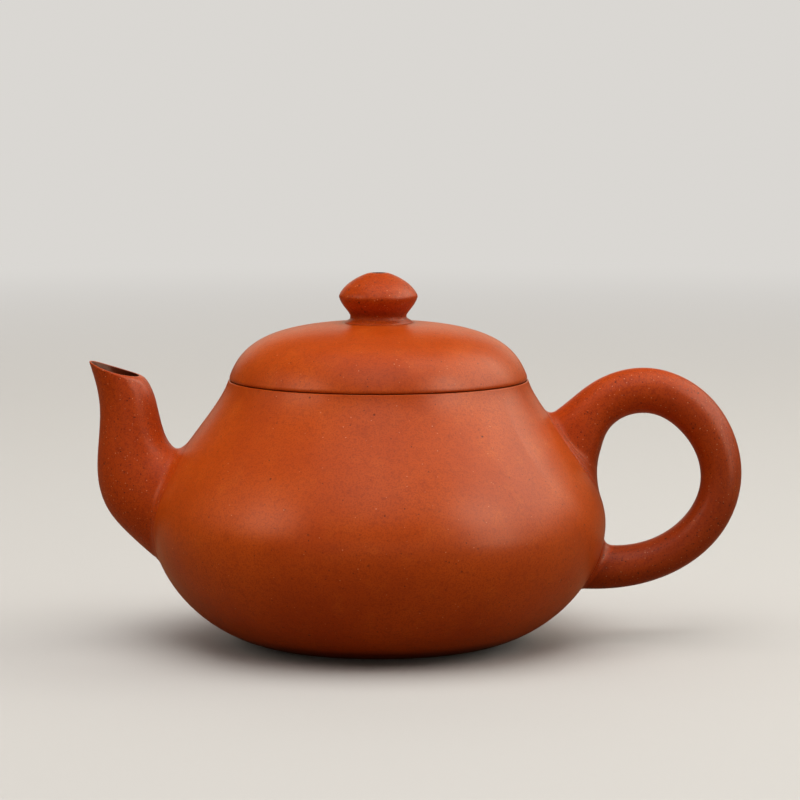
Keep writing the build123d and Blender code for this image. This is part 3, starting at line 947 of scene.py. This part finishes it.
# Azimuth (0 is the camera's side, positive is to its right), elevation, (width, height), and
# the light's brightness on the clay and in the clay's sheen.
SOFTBOXES = {
    "overhead": (0, 84, (1.0, 1.0), 2.8, 0),
    "front": (0, 50, (0.5, 0.5), 2.7, 0),
    "front_low": (0, 3, (1.2, 0.3), 1.4, 0.3),
    "right_window_low": (60, 8, (0.4, 0.4), 0, 4.4),
    "right_window": (60, 34, (0.4, 0.4), 0, 6.2),
    "right_window_top": (82, 62, (0.4, 0.4), 0, 2.0),
    "right": (90, 25, (0.5, 0.5), 3.5, 3.8),
    "right_back": (118, 36, (0.4, 0.5), 0.6, 9.5),
    "right_back_wide": (110, 36, (0.65, 0.65), 0, 2.2),
    "left_window": (-60, 28, (0.4, 0.4), 0, 4.4),
    "left": (-90, 25, (0.5, 0.5), 1.75, 0.5),
    "back": (180, 30, (1.4, 0.5), 1.3, 0),
    "back_low": (180, 14, (1.0, 0.3), 0, 0.7),
}

CAMERA_PLACE = (0.00426, -0.700, 0.12299)
CAMERA_DIP = 6.113  # degrees that it looks down by
CAMERA_LENS = 160.4
CAMERA_SENSOR = 36.0


def floor_paint():
    """Pale to the camera, and evenly bright where it curves up into the backdrop.

    What the pot sees of it is darker and warmer, as a table top is.
    """
    shader = Shader("floor_paint")
    shader.set(shader.surface, "Base Color", FLOOR_PAINT)
    shader.set(shader.surface, "Roughness", 0.9)
    place = shader.node("TexCoord").outputs["Object"]
    reach = shader.node("VectorMath", {0: place}, operation="LENGTH").outputs["Value"]
    far = shader.ramp(reach, GLOW_FROM, GLOW_FULL)
    glow = shader.node("Emission", {"Color": BACKDROP_GLOW}).outputs[0]
    backdrop = shader.node("MixShader", {0: far, 1: shader.surface.outputs[0], 2: glow}).outputs[0]
    seen = shader.node("BsdfDiffuse", {"Color": FLOOR_SEEN_BY_POT}).outputs[0]
    direct = shader.node("LightPath").outputs["Is Camera Ray"]
    mixed = shader.node("MixShader", {0: direct, 1: seen, 2: backdrop}).outputs[0]
    shader.set(shader.tree.nodes["Material Output"], "Surface", mixed)
    return shader.material


def make_stage():
    """A pale floor that curves up all round into a low wall, open at the top."""
    start, end = FLOOR_FLAT + 0.05, WALL_DISTANCE
    bend = [(start, 0.0), (end - 0.15, 0.0), (end, 0.15), (end, 0.45)]
    profile = np.vstack([line((0.02, 0.0), (FLOOR_FLAT, 0.0), 4), bezier(bend, 24), [(end, WALL_TOP)]])
    columns = 96
    faces = ring_faces(len(profile), columns, False) + [tuple(range(columns))]
    mesh = bpy.data.meshes.new("floor")
    mesh.from_pydata(spun(profile, columns).reshape(-1, 3).tolist(), [], faces)
    mesh.shade_smooth()
    mesh.materials.append(floor_paint())
    floor = bpy.data.objects.new("floor", mesh)
    bpy.context.scene.collection.objects.link(floor)


def softbox(name, azimuth, elevation, size, fill, sheen):
    """A soft light aimed at the pot, of one brightness on the clay and another in its sheen."""
    across, rise = radians(azimuth), radians(elevation)
    away = Vector((sin(across) * cos(rise), -cos(across) * cos(rise), sin(rise)))
    for part, strength, colour in (("fill", fill, LIGHT_WHITE), ("sheen", sheen, SHEEN_WARMTH)):
        if strength == 0:
            continue
        data = bpy.data.lights.new(f"{name}_{part}", "AREA")
        data.shape = "RECTANGLE"
        data.size, data.size_y = size
        data.energy = strength * pi * size[0] * size[1]
        data.color = colour
        light = bpy.data.objects.new(f"{name}_{part}", data)
        light.location = away * LIGHT_DISTANCE + LIGHT_AIM
        light.rotation_euler = away.to_track_quat("Z", "Y").to_euler()
        light.visible_camera = False
        light.visible_diffuse = part == "fill"
        light.visible_glossy = part == "sheen"
        bpy.context.scene.collection.objects.link(light)


def make_room_light():
    """An even, warm light from all round, weaker in the sheen."""
    world = bpy.data.worlds.new("studio")
    world.use_nodes = True
    nodes, links = world.node_tree.nodes, world.node_tree.links
    background = nodes["Background"]
    background.inputs["Color"].default_value = ROOM_COLOUR
    glossy = nodes.new("ShaderNodeLightPath").outputs["Is Glossy Ray"]
    strength = nodes.new("ShaderNodeMath")
    strength.operation = "MULTIPLY_ADD"
    strength.inputs[1].default_value = ROOM_SHEEN - ROOM_FILL
    strength.inputs[2].default_value = ROOM_FILL
    links.new(glossy, strength.inputs[0])
    links.new(strength.outputs[0], background.inputs["Strength"])
    bpy.context.scene.world = world


def make_lights():
    make_room_light()
    for name, setting in SOFTBOXES.items():
        softbox(name, *setting)


def make_camera():
    data = bpy.data.cameras.new("camera")
    data.lens, data.sensor_width = CAMERA_LENS, CAMERA_SENSOR
    data.clip_start, data.clip_end = 0.05, 20
    camera = bpy.data.objects.new("camera", data)
    camera.location = CAMERA_PLACE
    camera.rotation_euler = (radians(90 - CAMERA_DIP), 0, 0)
    bpy.context.scene.collection.objects.link(camera)
    bpy.context.scene.camera = camera
    bpy.context.scene.view_settings.view_transform = "Standard"


make_body()
make_spout()
make_handle()
make_lid()
carry_over()
make_stage()
make_lights()
make_camera()
